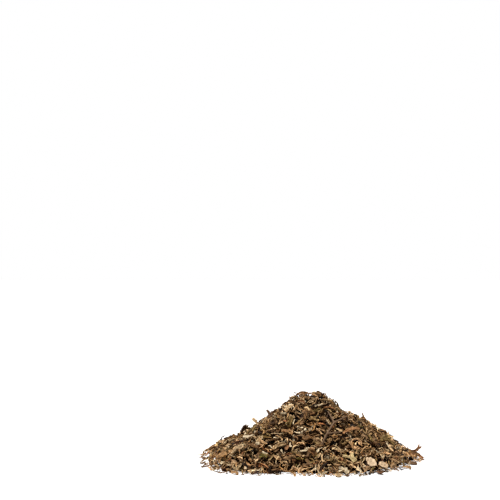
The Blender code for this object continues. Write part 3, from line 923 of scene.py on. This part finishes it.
def dull_bark(piece):
    """Dry bark of a thin stem: matt, with darker and paler fibres along it."""
    material, tree, shader, place = new_finish("dull_bark")
    along = direction_of(piece).to_track_quat("Z", "Y").to_euler()
    stretched = node(
        tree, "ShaderNodeMapping", [("Vector", place)],
        vector_type="TEXTURE", Rotation=along, Scale=(1, 1, FIBRE_STRETCH),
    )
    fibre = node(
        tree, "ShaderNodeTexNoise", [("Vector", stretched.outputs["Vector"])],
        Scale=1 / FIBRE_WIDTH, Detail=3,
    )
    colour = node(
        tree, "ShaderNodeMixRGB", [("Fac", fibre.outputs["Fac"])],
        Color1=BARK_DARK, Color2=BARK_PALE,
    )
    relief = node(
        tree, "ShaderNodeBump", [("Height", fibre.outputs["Fac"])],
        Strength=0.6, Distance=FIBRE_WIDTH / 3,
    )
    tree.links.new(colour.outputs[0], shader.inputs["Base Color"])
    tree.links.new(relief.outputs["Normal"], shader.inputs["Normal"])
    shader.inputs["Roughness"].default_value = 0.8
    shader.inputs["Specular IOR Level"].default_value = 0.2
    return material


# %% [markdown]
# ## Finish: felted crumbs in painted shade
#
# The core is seen only at the bottom of gaps, where crumbs and dust lie in deep shade. Small
# cells, each with its own brown, look like crumbs there, and their middles stand up. The browns
# are near black, which paints that deep shade into their colour.

# %% Felted crumbs in painted shade
CRUMB = 1.1 * MM
# Both browns are near black: painted shade, because little light reaches the core
SHADED_CRUMB_DARK, SHADED_CRUMB_PALE = linear("#0C0704"), linear("#2E1D10")


def felted_crumbs_in_painted_shade():
    """Packed lichen dust and crumbs: no gloss at all, painted near black as shade, a little paler
    from crumb to crumb.
    """
    material, tree, shader, place = new_finish("felted_crumbs_in_painted_shade")
    cells = node(tree, "ShaderNodeTexVoronoi", [("Vector", place)], Scale=1 / CRUMB)
    colour = node(
        tree, "ShaderNodeMixRGB", [("Fac", cells.outputs["Color"])],
        Color1=SHADED_CRUMB_DARK, Color2=SHADED_CRUMB_PALE,
    )
    relief = node(
        tree, "ShaderNodeBump", [("Height", cells.outputs["Distance"])],
        invert=True, Distance=CRUMB / 2,
    )
    tree.links.new(colour.outputs[0], shader.inputs["Base Color"])
    tree.links.new(relief.outputs["Normal"], shader.inputs["Normal"])
    shader.inputs["Roughness"].default_value = 0.95
    shader.inputs["Specular IOR Level"].default_value = 0
    return material


# %% [markdown]
# ## Colours of the single pieces
#
# Each single piece has the colour it shows in the photograph, or else the colour of its slot.
# It is stored as the same attribute that the poured pieces have, so the skin can read it.

# %% Give every piece its finish
SLOT_TINTS = {
    "packed_moss": "#76552F", "brown_thallus": "#70502F", "olive_thallus": "#6E5830",
    "tan_thallus": "#967148", "pale_underside": "#B99B72", "green_thallus": "#6F5F36",
    "dark_stem": "#5C442E",
}
OWN_TINTS = {
    "whitish_flake": "#B5A386", "pale_green_frond": "#A08A66", "orange_strand": "#946A44",
    "right_foot_frond": "#865C3A", "pale_broad_flake": "#C2A888", "second_pale_flake": "#B29878",
    "curled_stem_loop": "#A8825A", "green_frond": "#AB966A", "green_bit": "#5F5222",
    "front_block": "#553A22", "dark_pointed_flake": "#5A3F28", "dark_curl": "#3E2A1C",
    "left_channelled_strap": "#AF9470",
}
skin = dried_lichen_skin()
for name, piece in singles.items():
    colour = linear(OWN_TINTS.get(name, SLOT_TINTS[slot_of[name]]))
    store(piece.data, "tint", "FLOAT_COLOR", [colour] * len(piece.data.vertices))
    piece.data.materials.clear()
    piece.data.materials.append(dull_bark(piece) if name == "dark_forked_stem" else skin)
for zone in zones:
    zone.data.materials.append(skin)
core.data.materials.clear()
core.data.materials.append(felted_crumbs_in_painted_shade())
finished = [*zones, core, *singles.values()]
print("materials", sorted({piece.data.materials[0].name for piece in finished}))

# %% [markdown]
# ## Floor, light and camera
#
# The heap was photographed on white paper under one large soft lamp, high and a little to the
# left. A sun lamp with a wide disc gives that light. The world is white where the camera sees
# it and faint as a light, so that the gaps stay dark. The camera is level, about 9 cm higher
# than the summit and 0.7 m in front of it, and its lens gives the photograph's frame.

# %% White paper
FLOOR_SIDE = 8  # m
PAPER_WHITE = linear("#FAFAFA")
bpy.ops.mesh.primitive_plane_add(size=FLOOR_SIDE)
floor = bpy.context.object
floor.name = "floor"
paper, _, paper_shader, _ = new_finish("matt_white_paper")
paper_shader.inputs["Base Color"].default_value = PAPER_WHITE
paper_shader.inputs["Roughness"].default_value = 0.9
floor.data.materials.append(paper)

# %% Soft lamp and faint surroundings
LAMP_POWER, LAMP_WIDTH = 5.4, math.radians(16)
LAMP_DIRECTION = Vector((0.3, -0.05, -1))
AMBIENT = 0.06  # strength of the world as a light
lamp = new_piece("soft_lamp", bpy.data.lights.new("soft_lamp", "SUN"))
lamp.data.energy = LAMP_POWER
lamp.data.angle = LAMP_WIDTH
lamp.rotation_euler = LAMP_DIRECTION.to_track_quat("-Z", "Y").to_euler()

world = bpy.data.worlds.new("studio")
world.use_nodes = True
background = world.node_tree.nodes["Background"]
background.inputs["Color"].default_value = (1, 1, 1, 1)
seen = node(world.node_tree, "ShaderNodeLightPath")
strength = node(
    world.node_tree, "ShaderNodeMapRange", [("Value", seen.outputs["Is Camera Ray"])],
    To_Min=AMBIENT, To_Max=1,
)
world.node_tree.links.new(strength.outputs["Result"], background.inputs["Strength"])
bpy.context.scene.world = world

# %% Camera
PHOTO_PIXELS = 500
FOCAL_PIXELS = 1100  # focal length, in pixels of the photograph
SENSOR = 36  # mm
CAMERA_PLACE = (-39.15 * MM, -702.59 * MM, 131 * MM)
camera = new_piece("camera", bpy.data.cameras.new("camera"))
camera.data.sensor_width = SENSOR
camera.data.lens = SENSOR * FOCAL_PIXELS / PHOTO_PIXELS
camera.location = CAMERA_PLACE
camera.rotation_euler = (math.pi / 2, 0, 0)
bpy.context.scene.camera = camera
bpy.context.scene.view_settings.view_transform = "Standard"
print("lens", round(camera.data.lens, 1), "mm")
